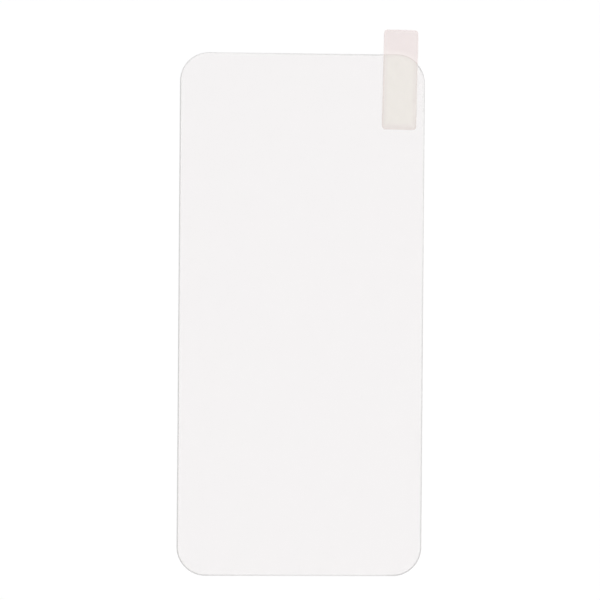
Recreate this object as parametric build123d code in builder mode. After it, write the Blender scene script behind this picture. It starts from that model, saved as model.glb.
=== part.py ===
from build123d import *
import os

# Phone screen protector, in millimetres, lying on its front with the back up, as it is peeled.
# +Z is out of the back, +Y towards the end with the pull tab, and +X to the right seen from the back.

# Tempered glass
glass_width = 71.0
glass_length = 151.6
glass_thickness = 0.33
corner_radius = 8.3
rim_width = 0.6  # how far the ground arc of the front rim reaches in from the edge
edge_land = 0.08  # straight band left at the edge behind the arc
back_bevel = 0.05  # safety bevel round the back edge

# Silicone adhesive film on the back of the glass
adhesive_thickness = 0.12
adhesive_inset = 0.5  # from the edge of the glass, all round

# Release liner over the adhesive
liner_thickness = 0.10
liner_inset = 0.3  # from the edge of the glass, all round

# Pull tab stuck to the back of the liner
tab_width = 10.0
tab_length = 29.0
tab_thickness = 0.08
tab_corner_radius = 1.0
tab_overhang = 7.2  # how far its free end stands out past the top edge of the glass
tab_side_margin = 2.2  # from its right edge to the right edge of the glass, half way along it
tab_lean = 0.95  # degrees clockwise, seen from the back: it is stuck on by hand

# Each layer lies on the one before it, from the glass up.
adhesive_level = glass_thickness
liner_level = adhesive_level + adhesive_thickness
tab_level = liner_level + liner_thickness

# The glass and the free end of the tab together are centred on the origin.
glass_middle = -tab_overhang / 2
tab_x = glass_width / 2 - tab_side_margin - tab_width / 2
tab_y = glass_middle + glass_length / 2 + tab_overhang - tab_length / 2

# What is left of the glass thickness beside the land and the bevel is ground away at the edge.
rim_drop = glass_thickness - edge_land - back_bevel


# One layer of the stack: the outline of the glass, drawn in by the same inset all round.
def layer_outline(inset):
    RectangleRounded(glass_width - 2 * inset, glass_length - 2 * inset, corner_radius - inset)


def layer_plane(level):
    return Plane((0, glass_middle, level))


with BuildPart() as tempered_glass:
    with BuildSketch(layer_plane(0)) as outline:
        layer_outline(0)
    extrude(amount=glass_thickness)
    chamfer(tempered_glass.faces().sort_by(Axis.Z)[-1].edges(), length=back_bevel)

    # The front rim is ground to an arc that leaves the flat front without a break.
    # The wheel's profile stands square to the outline, with X outwards and Y up, and runs once round it.
    edge = outline.sketch.wire()
    along = edge % 0
    outwards = along.cross(Vector(0, 0, 1))
    with BuildSketch(Plane(edge @ 0, x_dir=outwards, z_dir=-along)):
        with BuildLine():
            arc = TangentArc((-rim_width, 0), (0, rim_drop), tangent=(1, 0))
            Polyline(
                arc @ 1,
                (rim_width, rim_drop),
                (rim_width, -rim_drop),
                (-rim_width, -rim_drop),
                arc @ 0,
            )
        make_face()
    sweep(path=edge, mode=Mode.SUBTRACT)

with BuildPart() as adhesive_film:
    with BuildSketch(layer_plane(adhesive_level)):
        layer_outline(adhesive_inset)
    extrude(amount=adhesive_thickness)

with BuildPart() as release_liner:
    with BuildSketch(layer_plane(liner_level)):
        layer_outline(liner_inset)
    extrude(amount=liner_thickness)

with BuildPart() as pull_tab:
    with BuildSketch(Plane((tab_x, tab_y, tab_level)).rotated((0, 0, -tab_lean))):
        RectangleRounded(tab_width, tab_length, tab_corner_radius)
    extrude(amount=tab_thickness)

pieces = {
    "tempered_glass": tempered_glass,
    "adhesive_film": adhesive_film,
    "release_liner": release_liner,
    "pull_tab": pull_tab,
}
os.makedirs("parts", exist_ok=True)
for name, piece in pieces.items():
    piece.part.label = name
    export_step(piece.part, f"parts/{name}.step")
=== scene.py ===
import bpy
import math
from mathutils import Euler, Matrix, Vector


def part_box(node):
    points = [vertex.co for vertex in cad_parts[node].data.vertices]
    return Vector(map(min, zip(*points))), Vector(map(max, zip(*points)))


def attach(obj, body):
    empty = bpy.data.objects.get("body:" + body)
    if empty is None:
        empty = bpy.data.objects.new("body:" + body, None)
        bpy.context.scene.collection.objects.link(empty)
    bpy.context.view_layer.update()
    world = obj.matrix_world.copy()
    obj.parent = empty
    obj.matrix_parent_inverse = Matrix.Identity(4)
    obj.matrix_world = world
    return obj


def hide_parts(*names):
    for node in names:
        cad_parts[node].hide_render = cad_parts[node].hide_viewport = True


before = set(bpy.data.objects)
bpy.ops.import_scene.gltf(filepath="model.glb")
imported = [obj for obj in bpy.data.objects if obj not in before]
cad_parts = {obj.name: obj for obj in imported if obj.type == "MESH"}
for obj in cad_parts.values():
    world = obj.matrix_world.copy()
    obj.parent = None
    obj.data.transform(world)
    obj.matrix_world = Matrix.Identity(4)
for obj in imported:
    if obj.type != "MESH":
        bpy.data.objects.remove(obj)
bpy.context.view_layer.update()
mm = 0.001
print("frame loaded:", sorted(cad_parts))


# nodes

def newMaterial(name):
    material = bpy.data.materials.new(name)
    material.use_nodes = True
    material.node_tree.nodes.clear()
    return material


# values go to inputs by name or number, fixed or linked from another node's output
def addNode(tree, kind, values=None, **settings):
    node = tree.nodes.new(kind)
    for key, setting in settings.items():
        setattr(node, key, setting)
    for key, value in (values or {}).items():
        if isinstance(value, bpy.types.NodeSocket):
            tree.links.new(value, node.inputs[key])
        else:
            node.inputs[key].default_value = value
    return node


def calc(tree, operation, *terms):
    return addNode(tree, "ShaderNodeMath", dict(enumerate(terms)), operation=operation).outputs[0]


def vectorCalc(tree, operation, *terms):
    node = addNode(tree, "ShaderNodeVectorMath", dict(enumerate(terms)), operation=operation)
    return node.outputs["Value" if operation == "LENGTH" else "Vector"]


def splitXyz(tree, vector):
    return list(addNode(tree, "ShaderNodeSeparateXYZ", {0: vector}).outputs)


# 0 at low and beyond, 1 at high and beyond, smooth between
def smoothStep(tree, value, low, high):
    ends = {"Value": value, "From Min": low, "From Max": high}
    return addNode(tree, "ShaderNodeMapRange", ends, interpolation_type="SMOOTHSTEP").outputs["Result"]


# first where the share is 0, second where it is 1, straight between
def between(tree, share, first, second):
    return calc(tree, "MULTIPLY_ADD", share, second - first, first)


# the same for colours, which are inputs 6 and 7 of the node
def mixColor(tree, share, first, second):
    return addNode(tree, "ShaderNodeMix", {0: share, 6: first, 7: second}, data_type="RGBA").outputs[2]


def noise(tree, place, scale, detail=2.0, roughness=0.5):
    values = {"Vector": place, "Scale": scale, "Detail": detail, "Roughness": roughness}
    return addNode(tree, "ShaderNodeTexNoise", values).outputs[0]


def bump(tree, height, distance, strength=1.0):
    values = {"Strength": strength, "Distance": distance, "Height": height}
    return addNode(tree, "ShaderNodeBump", values).outputs[0]


def greyRamp(tree, value, stops):
    ramp = addNode(tree, "ShaderNodeValToRGB", {0: value})
    marks = ramp.color_ramp.elements
    while len(marks) < len(stops):
        marks.new(0.5)
    for mark, (position, grey) in zip(marks, stops):
        mark.position = position
        mark.color = (grey, grey, grey, 1)
    return ramp.outputs[0]


# how far inside a rounded rectangle a point lies, in metres, below zero outside
def insideOutline(tree, place, halfWidth, halfLength, radius):
    flat = vectorCalc(tree, "MULTIPLY", place, (1, 1, 0))
    folded = vectorCalc(tree, "ABSOLUTE", flat)
    past = vectorCalc(tree, "SUBTRACT", folded, (halfWidth - radius, halfLength - radius, 0))
    outer = vectorCalc(tree, "LENGTH", vectorCalc(tree, "MAXIMUM", past, (0, 0, 0)))
    pastX, pastY = splitXyz(tree, past)[:2]
    inner = calc(tree, "MINIMUM", calc(tree, "MAXIMUM", pastX, pastY), 0.0)
    return calc(tree, "SUBTRACT", radius, calc(tree, "ADD", outer, inner))


# lamp light and the floor's own light pass straight through, so that the floor shows no caustics
def letLightThrough(tree, shader, tint):
    path = addNode(tree, "ShaderNodeLightPath")
    clear = addNode(tree, "ShaderNodeBsdfTransparent", {"Color": tint}).outputs[0]
    for ray in ("Is Shadow Ray", "Is Diffuse Ray"):
        mixed = {0: path.outputs[ray], 1: shader, 2: clear}
        shader = addNode(tree, "ShaderNodeMixShader", mixed).outputs[0]
    return shader


# meshes

# quarter circle round a corner's centre, from startTurn in degrees
def cornerArc(centreX, centreY, radius, startTurn, count):
    arc = []
    for step in range(count + 1):
        turn = math.radians(startTurn + 90 * step / count)
        arc.append((centreX + radius * math.cos(turn), centreY + radius * math.sin(turn)))
    return arc


# right half of a rounded rectangle from its lower edge to its upper edge, then the left half back down
def outlineRing(halfWidth, halfLength, radius, level, steps):
    centreX, centreY = halfWidth - radius, halfLength - radius
    right = cornerArc(centreX, -centreY, radius, -90, steps["corner"])
    for step in range(1, steps["side"]):
        right.append((halfWidth, centreY * (2 * step / steps["side"] - 1)))
    right += cornerArc(centreX, centreY, radius, 0, steps["corner"])
    left = [(-x, y) for x, y in reversed(right)]
    return [Vector((x, y, level)) for x, y in right + left]


# closed shell through rings that run from the underside, round the edge, to the top
def shellMesh(name, rings, sharpRings, edgeBands=()):
    count = len(rings[0])
    points = [point for ring in rings for point in ring]
    faces = []
    slots = []
    for band in range(len(rings) - 1):
        low, high = band * count, (band + 1) * count
        for i in range(count):
            j = (i + 1) % count
            faces.append((low + i, low + j, high + j, high + i))
            slots.append(1 if band in edgeBands else 0)
    # underside and top, each a ladder of faces from the right half to the left half
    for first, isTop in ((0, False), (len(points) - count, True)):
        for i in range(count // 2 - 1):
            rung = (first + i, first + i + 1, first + count - 2 - i, first + count - 1 - i)
            faces.append(rung if isTop else rung[::-1])
            slots.append(0)
    mesh = bpy.data.meshes.new(name)
    mesh.from_pydata(points, [], faces)
    mesh.shade_smooth()
    mesh.polygons.foreach_set("material_index", slots)
    for edge in mesh.edges:
        a, b = edge.vertices
        if a // count == b // count and a // count in sharpRings:
            edge.use_edge_sharp = True
    mesh.validate()
    return mesh


def addPiece(name, mesh, node, materials):
    piece = bpy.data.objects.new(name, mesh)
    bpy.context.scene.collection.objects.link(piece)
    for material in materials:
        mesh.materials.append(material)
    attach(piece, "root")
    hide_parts(node)
    print("made", name, len(mesh.polygons), "faces")
    return piece


# tempered glass

glassSpec = {
    "cornerRadius": 8.3 * mm,
    "rimWidth": 0.6 * mm,  # ground arc round the front edge
    "rimDrop": 0.2 * mm,
    "backBevel": 0.05 * mm,
    "guard": 0.5 * mm,  # level band that keeps the rim's shading off the flat
    "steps": {"corner": 40, "side": 40},
    "arcSteps": 10,
    "ior": 1.51,
    "lightTint": (0.96, 0.96, 0.96, 1),  # what each face lets through to the floor
    # polished faces
    "tint": (0.975, 0.954, 0.955, 1),
    "wave": {"scale": 28.0, "detail": 1.0},  # slow roll of the faces
    "waveHeight": 0.012 * mm,
    "smear": {"scale": 60.0, "detail": 4.0, "roughness": 0.6},  # wiping marks
    "roughness": (0.0, 0.03),  # between smears and on them
    # ground rim, with painted shade in its colour
    "grain": {"scale": 20000.0, "detail": 3.0, "roughness": 0.6},  # of the grinding
    "grainHeight": 0.01 * mm,
    "grainStrength": 0.5,
    "rimRoughness": (0.1, 0.22),
    "rimClarity": 0.95,  # the rest is scattered
    "rimClear": (1.0, 0.99, 0.985, 1),
    # colour of the painted shade line
    "rimShadeGrey": (0.43, 0.425, 0.42, 1),
    "rimShade": (0.17 * mm, 0.23 * mm, 0.42 * mm),  # depths where the painted shade is full from, full to and gone
    "rimOutermost": 0.1,  # share of the painted shade at the very edge
    # how much of the painted shade shows along the outline, as the light falls on each side, by the share
    # of a turn round the middle of the glass:
    # 0 at mid left, then by the lower edge, the right side and the upper edge back to mid left
    "rimShadeAlong": (
        (0.0, 0.85),  # left side
        (0.137, 0.9), (0.16, 0.68),  # lower left corner
        (0.195, 0.55), (0.24, 0.4), (0.345, 0.5),  # lower edge
        (0.356, 0.95), (0.366, 0.95),  # lower right corner
        (0.39, 0.66), (0.52, 0.5), (0.55, 0.3), (0.585, 0.32), (0.605, 0.2),  # right side, fading upwards
        (0.617, 0.25), (0.625, 0.85),  # upper right corner
        (0.631, 0.25), (0.655, 0.25),  # under the tab
        (0.66, 0.42), (0.79, 0.29),  # upper edge
        (0.82, 0.08), (0.845, 0.0),  # upper left corner
        (0.89, 0.83), (1.0, 0.85),  # left side again
    ),
}
glassLow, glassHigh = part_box("tempered_glass")
glassMiddle = (glassLow + glassHigh) / 2
glassHalf = (glassHigh - glassLow) / 2
lift = 0.003 * mm  # hair gap between bonded layers, so no two faces coincide


def layerRing(inset, level, steps):
    radius = glassSpec["cornerRadius"] - inset
    ring = outlineRing(glassHalf.x - inset, glassHalf.y - inset, radius, level, steps)
    return [point + Vector((glassMiddle.x, glassMiddle.y, 0)) for point in ring]


def polishedGlass():
    spec = glassSpec
    material = newMaterial("polishedGlass")
    tree = material.node_tree
    place = addNode(tree, "ShaderNodeTexCoord").outputs["Object"]
    wave = noise(tree, place, **spec["wave"])
    smear = noise(tree, place, **spec["smear"])
    body = addNode(tree, "ShaderNodeBsdfPrincipled", {
        "Base Color": spec["tint"],
        "Roughness": between(tree, smear, *spec["roughness"]),
        "IOR": spec["ior"],
        "Transmission Weight": 1.0,
        "Normal": bump(tree, wave, spec["waveHeight"]),
    })
    shader = letLightThrough(tree, body.outputs[0], spec["lightTint"])
    addNode(tree, "ShaderNodeOutputMaterial", {"Surface": shader})
    return material


# the rim's ground finish, with a painted shade line in its colour
def groundRimPaintedShade():
    spec = glassSpec
    material = newMaterial("groundRimPaintedShade")
    tree = material.node_tree
    place = addNode(tree, "ShaderNodeTexCoord").outputs["Object"]
    grain = noise(tree, place, **spec["grain"])
    # painted shade: a grey line a little way in from the edge, in place of the dark line that the edge's
    # refraction and shadow give
    onGlass = vectorCalc(tree, "SUBTRACT", place, (glassMiddle.x, glassMiddle.y, 0))
    depth = insideOutline(tree, onGlass, glassHalf.x, glassHalf.y, spec["cornerRadius"])
    fullFrom, fullTo, gone = spec["rimShade"]
    fromEdge = between(tree, smoothStep(tree, depth, 0.0, fullFrom), spec["rimOutermost"], 1.0)
    line = calc(tree, "MULTIPLY", smoothStep(tree, depth, gone, fullTo), fromEdge)
    # and how strong the painted shade is along the outline, side by side as the light falls
    around = vectorCalc(tree, "DIVIDE", onGlass, (glassHalf.x, glassHalf.y, 1))
    aroundX, aroundY = splitXyz(tree, around)[:2]
    turn = calc(tree, "ARCTAN2", aroundY, aroundX)
    shareOfTurn = calc(tree, "MULTIPLY_ADD", turn, 0.5 / math.pi, 0.5)
    shade = calc(tree, "MULTIPLY", line, greyRamp(tree, shareOfTurn, spec["rimShadeAlong"]))
    body = addNode(tree, "ShaderNodeBsdfPrincipled", {
        "Base Color": mixColor(tree, shade, spec["rimClear"], spec["rimShadeGrey"]),
        "Roughness": between(tree, grain, *spec["rimRoughness"]),
        "IOR": spec["ior"],
        "Transmission Weight": spec["rimClarity"],
        "Normal": bump(tree, grain, spec["grainHeight"], spec["grainStrength"]),
    })
    shader = letLightThrough(tree, body.outputs[0], spec["lightTint"])
    addNode(tree, "ShaderNodeOutputMaterial", {"Surface": shader})
    return material


def makeGlass():
    spec = glassSpec
    steps = spec["steps"]
    front, back = glassLow.z, glassHigh.z
    width, drop, bevel = spec["rimWidth"], spec["rimDrop"], spec["backBevel"]
    arcRadius = (width ** 2 + drop ** 2) / (2 * drop)
    arcTurn = math.asin(width / arcRadius)
    rings = [layerRing(width + spec["guard"], front, steps)]
    for step in range(spec["arcSteps"] + 1):
        turn = arcTurn * step / spec["arcSteps"]
        inset = width - arcRadius * math.sin(turn)
        rings.append(layerRing(inset, front + arcRadius * (1 - math.cos(turn)), steps))
    landStart = len(rings) - 1  # straight land, then the bevel and the flat back
    rings.append(layerRing(0, back - bevel, steps))
    rings.append(layerRing(bevel, back, steps))
    rings.append(layerRing(bevel + spec["guard"], back, steps))
    sharpRings = range(landStart, landStart + 3)
    rimBands = range(1, landStart + 2)
    mesh = shellMesh("temperedGlass", rings, sharpRings, rimBands)
    addPiece("temperedGlass", mesh, "tempered_glass", [polishedGlass(), groundRimPaintedShade()])


makeGlass()


# adhesive film and release liner

# what both films share
filmSpec = {
    "steps": {"corner": 28, "side": 24},
    "ior": 1.5,
    "streak": {"scale": 400.0, "detail": 3.0},
    "streakStretch": (1.0, 0.12, 1.0),  # drawn out along the glass
}
adhesiveSpec = {
    "inset": 0.5 * mm,
    "round": 0.03 * mm,
    "tint": (0.93, 0.93, 0.92, 1),
    "haze": (0.012, 0.018),  # share of light that each face scatters, between streaks and on them
    "roughness": (0.3, 0.4),
}
linerSpec = {
    "inset": 0.3 * mm,
    "round": 0.012 * mm,
    "tint": (0.95, 0.95, 0.95, 1),
    "haze": (0.012, 0.018),
    "roughness": (0.08, 0.18),
}


def clearFilm(name, spec):
    material = newMaterial(name)
    tree = material.node_tree
    place = addNode(tree, "ShaderNodeTexCoord").outputs["Object"]
    stretched = vectorCalc(tree, "MULTIPLY", place, filmSpec["streakStretch"])
    streak = noise(tree, stretched, **filmSpec["streak"])
    body = addNode(tree, "ShaderNodeBsdfPrincipled", {
        "Base Color": spec["tint"],
        "Roughness": between(tree, streak, *spec["roughness"]),
        "IOR": filmSpec["ior"],
        "Alpha": between(tree, streak, *spec["haze"]),
    })
    addNode(tree, "ShaderNodeOutputMaterial", {"Surface": body.outputs[0]})
    return material


def makeLayer(name, node, spec):
    low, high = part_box(node)
    inset, soft, steps = spec["inset"], spec["round"], filmSpec["steps"]
    bottom, top = low.z + lift, high.z - lift
    rings = [
        layerRing(inset + soft, bottom, steps),
        layerRing(inset, bottom + soft, steps),
        layerRing(inset, top - soft, steps),
        layerRing(inset + soft, top, steps),
    ]
    mesh = shellMesh(name, rings, range(len(rings)))
    layer = addPiece(name, mesh, node, [clearFilm(name + "Clear", spec)])
    layer.visible_shadow = False  # too clear to shade the floor
    layer.visible_diffuse = False


makeLayer("adhesiveFilm", "adhesive_film", adhesiveSpec)
makeLayer("releaseLiner", "release_liner", linerSpec)


# pull tab

tabSpec = {
    "width": 10.0 * mm,
    "length": 29.0 * mm,
    "cornerRadius": 1.0 * mm,
    "lean": 0.95,  # degrees clockwise from above
    "droop": 0.12 * mm,  # at the end of the free stretch
    "round": 0.01 * mm,
    "steps": {"corner": 10, "side": 60},
    "ior": 1.57,
    "mottle": {"scale": 260.0},  # fine cloudiness of the film
    "haze": (0.3686, 0.3914),  # share of light that each of its two faces scatters
    "roughness": (0.3, 0.38),
    "lightTint": (0.95, 0.93, 0.92, 1),  # what each face lets through to the floor
    # free end, up to the edge of the stack
    "freeColor": (0.805, 0.695, 0.687, 1),
    "nearLightColor": (0.86, 0.755, 0.735, 1),  # painted light: paler close to the glass, where light comes through the glass's edge under the film
    "nearReach": (-1.9 * mm, -0.5 * mm),  # depth inside the liner's outline
    "stackEdge": (-0.3 * mm, -0.1 * mm),  # the same
    # where it is glued down, inside a border that its glue thins out in
    "bondColor": (0.824, 0.79, 0.73, 1),
    "marginColor": (0.775, 0.72, 0.68, 1),
    "margin": (0.5 * mm, 1.8 * mm),  # depth inside the tab's own outline
    "lowMargin": (0.5 * mm, 2.4 * mm),  # from the end that lies on the stack
    "topMargin": (-0.9 * mm, 1.1 * mm),  # depth inside the liner's outline
    "ragged": (-0.2 * mm, 0.2 * mm),  # how far the border wanders
    # painted shade along the die-cut edge, stronger at the end that lies on the stack, and in the crease
    # where it leaves the edge of the glass
    # colour of the painted shade along the cut edge and in the crease
    "edgeShadeColor": (0.62, 0.53, 0.50, 1),
    "edgeReach": (0.4 * mm, 0.05 * mm),  # depth inside the tab's own outline
    "edgeGrey": (0.08, 0.6),  # free and on the stack
    "edgeSides": (1.15, 0.35),  # times this, from the left side to the right side: painted shade, lighter towards the right as the light falls
    "lowEdgeReach": (1.2 * mm, 0.1 * mm),  # from the end that lies on the stack
    "lowEdgeGrey": 0.33,
    "creasePlace": -0.27 * mm,  # depth inside the liner's outline
    "creaseReach": (0.12 * mm, 0.03 * mm),  # to either side of that
    "creaseShadeGrey": (0.4, 1.04),  # painted shade, from the left side to the right side
}


def hazyFilm(tabPlace):
    spec = tabSpec
    material = newMaterial("hazyFilm")
    tree = material.node_tree
    place = addNode(tree, "ShaderNodeTexCoord").outputs["Object"]
    mottle = noise(tree, place, **spec["mottle"])
    ragged = between(tree, mottle, *spec["ragged"])

    # the same point along and across the tab, and from the middle of the glass
    turned = {"Vector": place, "Angle": math.radians(spec["lean"])}
    onTab = addNode(tree, "ShaderNodeVectorRotate", turned).outputs[0]
    offset = tabPlace - glassMiddle
    onGlass = vectorCalc(tree, "ADD", place, (offset.x, offset.y, 0))
    depth = insideOutline(tree, onTab, spec["width"] / 2, spec["length"] / 2, spec["cornerRadius"])
    inset = linerSpec["inset"]
    linerRadius = glassSpec["cornerRadius"] - inset
    onLiner = insideOutline(tree, onGlass, glassHalf.x - inset, glassHalf.y - inset, linerRadius)
    onStack = smoothStep(tree, onLiner, *spec["stackEdge"])
    tabX, tabY = splitXyz(tree, onTab)[:2]
    across = calc(tree, "MULTIPLY_ADD", tabX, 1 / spec["width"], 0.5)  # 0 at the left side, 1 at the right
    fromLowEnd = calc(tree, "ADD", calc(tree, "ADD", tabY, spec["length"] / 2), ragged)

    # glued down inside its border
    bonded = smoothStep(tree, calc(tree, "ADD", depth, ragged), *spec["margin"])
    bonded = calc(tree, "MULTIPLY", bonded, smoothStep(tree, fromLowEnd, *spec["lowMargin"]))
    bonded = calc(tree, "MULTIPLY", bonded, smoothStep(tree, onLiner, *spec["topMargin"]))

    # painted shade along its cut edge, at its low end and in the crease
    edge = smoothStep(tree, depth, *spec["edgeReach"])
    edge = calc(tree, "MULTIPLY", edge, between(tree, onStack, *spec["edgeGrey"]))
    edge = calc(tree, "MULTIPLY", edge, between(tree, across, *spec["edgeSides"]))
    lowEdge = smoothStep(tree, fromLowEnd, *spec["lowEdgeReach"])
    edge = calc(tree, "MAXIMUM", edge, calc(tree, "MULTIPLY", lowEdge, spec["lowEdgeGrey"]))
    fromCrease = calc(tree, "ABSOLUTE", calc(tree, "SUBTRACT", onLiner, spec["creasePlace"]))
    crease = smoothStep(tree, fromCrease, *spec["creaseReach"])
    crease = calc(tree, "MULTIPLY", crease, between(tree, across, *spec["creaseShadeGrey"]))
    edge = calc(tree, "MAXIMUM", edge, crease)

    # painted light, paler near the glass
    near = smoothStep(tree, onLiner, *spec["nearReach"])
    free = mixColor(tree, near, spec["freeColor"], spec["nearLightColor"])
    bare = mixColor(tree, onStack, free, spec["marginColor"])
    film = mixColor(tree, bonded, bare, spec["bondColor"])
    body = addNode(tree, "ShaderNodeBsdfPrincipled", {
        "Base Color": mixColor(tree, edge, film, spec["edgeShadeColor"]),
        "Roughness": between(tree, mottle, *spec["roughness"]),
        "IOR": spec["ior"],
        "Alpha": between(tree, mottle, *spec["haze"]),
    })
    shader = letLightThrough(tree, body.outputs[0], spec["lightTint"])
    addNode(tree, "ShaderNodeOutputMaterial", {"Surface": shader})
    return material


def makeTab():
    spec = tabSpec
    low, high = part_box("pull_tab")
    tabPlace = (low + high) / 2
    soft = spec["round"]
    top = (high.z - low.z) / 2
    bottom = lift - top
    rings = []
    for inset, level in ((soft, bottom), (0, bottom + soft), (0, top - soft), (soft, top)):
        halfWidth, halfLength = spec["width"] / 2 - inset, spec["length"] / 2 - inset
        rings.append(outlineRing(halfWidth, halfLength, spec["cornerRadius"] - inset, level, spec["steps"]))
    # the free stretch hangs a little, and the whole tab leans
    lean = Euler((0, 0, -math.radians(spec["lean"])))
    glassEnd = glassHigh.y - tabPlace.y
    freeLength = spec["length"] / 2 - glassEnd
    for ring in rings:
        for point in ring:
            share = max(0.0, (point.y - glassEnd) / freeLength)
            point.z -= spec["droop"] * share ** 2
            point.rotate(lean)
    mesh = shellMesh("pullTab", rings, range(len(rings)))
    tab = addPiece("pullTab", mesh, "pull_tab", [hazyFilm(tabPlace)])
    tab.location = tabPlace


makeTab()


# stage, light and camera

stageSpec = {
    "white": (1.0, 1.0, 1.0, 1),
    "floorReach": 9.0,
    "floorDrop": 0.02 * mm,
    "floorGlow": 0.7,  # share of the floor that shows as plain white to the eye, the rest keeps its shadow
    "glowReach": (0.15, 0.5),  # metres out, where the floor passes over to plain white
    "panels": {"count": 10, "turn": 0.5, "soft": 0.8},  # soft light panels round the sky
    # brightness of the sky by height, between the panels and on them
    "gapSky": (
        (0.0, 1.0), (0.05, 1.0), (0.12, 0.7), (0.22, 0.4),
        (0.4, 0.26), (0.6, 0.22), (0.85, 0.27), (1.0, 0.3),
    ),
    "panelSky": (
        (0.0, 1.0), (0.05, 1.0), (0.12, 0.92), (0.25, 0.8),
        (0.4, 0.68), (0.6, 0.52), (0.85, 0.34), (1.0, 0.3),
    ),
    "clearBounces": 24,  # light crosses many clear faces in the stack
}
lampSpec = {
    "keyBox": {"place": (0.55, -0.60, 1.15), "size": 0.7, "watts": 8.6},
    "fillBox": {"place": (-0.75, 0.1, 1.1), "size": 0.8, "watts": 4.2},
    "backBox": {"place": (0.25, 0.8, 1.0), "size": 0.7, "watts": 3.6},
}
cameraSpec = {
    "lens": 85.0,
    "clip": (0.01, 50.0),
    "place": (-12.27 * mm, 1.53 * mm, 411.28 * mm),
    "turn": (-0.1292, -1.6647, 0.4364),  # degrees
}


def makeFloor():
    spec = stageSpec
    reach, level = spec["floorReach"], -spec["floorDrop"]
    corners = [(x * reach, y * reach, level) for x, y in ((-1, -1), (1, -1), (1, 1), (-1, 1))]
    mesh = bpy.data.meshes.new("floor")
    mesh.from_pydata(corners, [], [(0, 1, 2, 3)])
    material = newMaterial("whiteFloor")
    tree = material.node_tree
    path = addNode(tree, "ShaderNodeLightPath")
    seen = calc(tree, "MAXIMUM", path.outputs["Is Camera Ray"], path.outputs["Is Glossy Ray"])
    seen = calc(tree, "MAXIMUM", seen, path.outputs["Is Transmission Ray"])
    paper = addNode(tree, "ShaderNodeBsdfDiffuse", {"Color": spec["white"]})
    glow = addNode(tree, "ShaderNodeEmission", {"Color": spec["white"], "Strength": 1.0})
    place = addNode(tree, "ShaderNodeTexCoord").outputs["Object"]
    outwards = smoothStep(tree, vectorCalc(tree, "LENGTH", place), *spec["glowReach"])
    share = calc(tree, "MULTIPLY", seen, between(tree, outwards, spec["floorGlow"], 1.0))
    shown = addNode(tree, "ShaderNodeMixShader", {0: share, 1: paper.outputs[0], 2: glow.outputs[0]})
    addNode(tree, "ShaderNodeOutputMaterial", {"Surface": shown.outputs[0]})
    mesh.materials.append(material)
    floor = bpy.data.objects.new("floor", mesh)
    bpy.context.scene.collection.objects.link(floor)


def makeSky():
    spec = stageSpec
    world = bpy.data.worlds.new("studio")
    world.use_nodes = True
    tree = world.node_tree
    tree.nodes.clear()
    wayX, wayY, height = splitXyz(tree, addNode(tree, "ShaderNodeTexCoord").outputs["Generated"])
    panels = spec["panels"]
    around = calc(tree, "ARCTAN2", wayY, wayX)
    wave = calc(tree, "SINE", calc(tree, "MULTIPLY_ADD", around, panels["count"], panels["turn"]))
    onPanel = smoothStep(tree, wave, -panels["soft"], panels["soft"])
    gapGrey = greyRamp(tree, height, spec["gapSky"])
    panelGrey = greyRamp(tree, height, spec["panelSky"])
    grey = mixColor(tree, onPanel, gapGrey, panelGrey)
    seen = addNode(tree, "ShaderNodeLightPath").outputs["Is Camera Ray"]
    shown = mixColor(tree, seen, grey, spec["white"])  # plain white where the camera sees it
    sky = addNode(tree, "ShaderNodeBackground", {"Color": shown, "Strength": 1.0})
    addNode(tree, "ShaderNodeOutputWorld", {"Surface": sky.outputs[0]})
    bpy.context.scene.world = world


def makeLamps():
    for name, spec in lampSpec.items():
        lamp = bpy.data.lights.new(name, "AREA")
        lamp.size = spec["size"]
        lamp.energy = spec["watts"]
        box = bpy.data.objects.new(name, lamp)
        box.location = spec["place"]
        box.rotation_euler = (-Vector(spec["place"])).to_track_quat("-Z", "Y").to_euler()
        box.visible_glossy = False  # the glass shows the sky's panels, not the lamps
        box.visible_transmission = False
        bpy.context.scene.collection.objects.link(box)


def makeCamera():
    lens = bpy.data.cameras.new("camera")
    lens.lens = cameraSpec["lens"]
    lens.clip_start, lens.clip_end = cameraSpec["clip"]
    camera = bpy.data.objects.new("camera", lens)
    camera.location = cameraSpec["place"]
    camera.rotation_euler = Euler([math.radians(angle) for angle in cameraSpec["turn"]])
    bpy.context.scene.collection.objects.link(camera)
    bpy.context.scene.camera = camera


makeFloor()
makeSky()
makeLamps()
makeCamera()
bpy.context.scene.view_settings.view_transform = "Standard"
bpy.context.scene.cycles.transparent_max_bounces = stageSpec["clearBounces"]
print("stage, lamps and camera set")

bpy.context.view_layer.update()
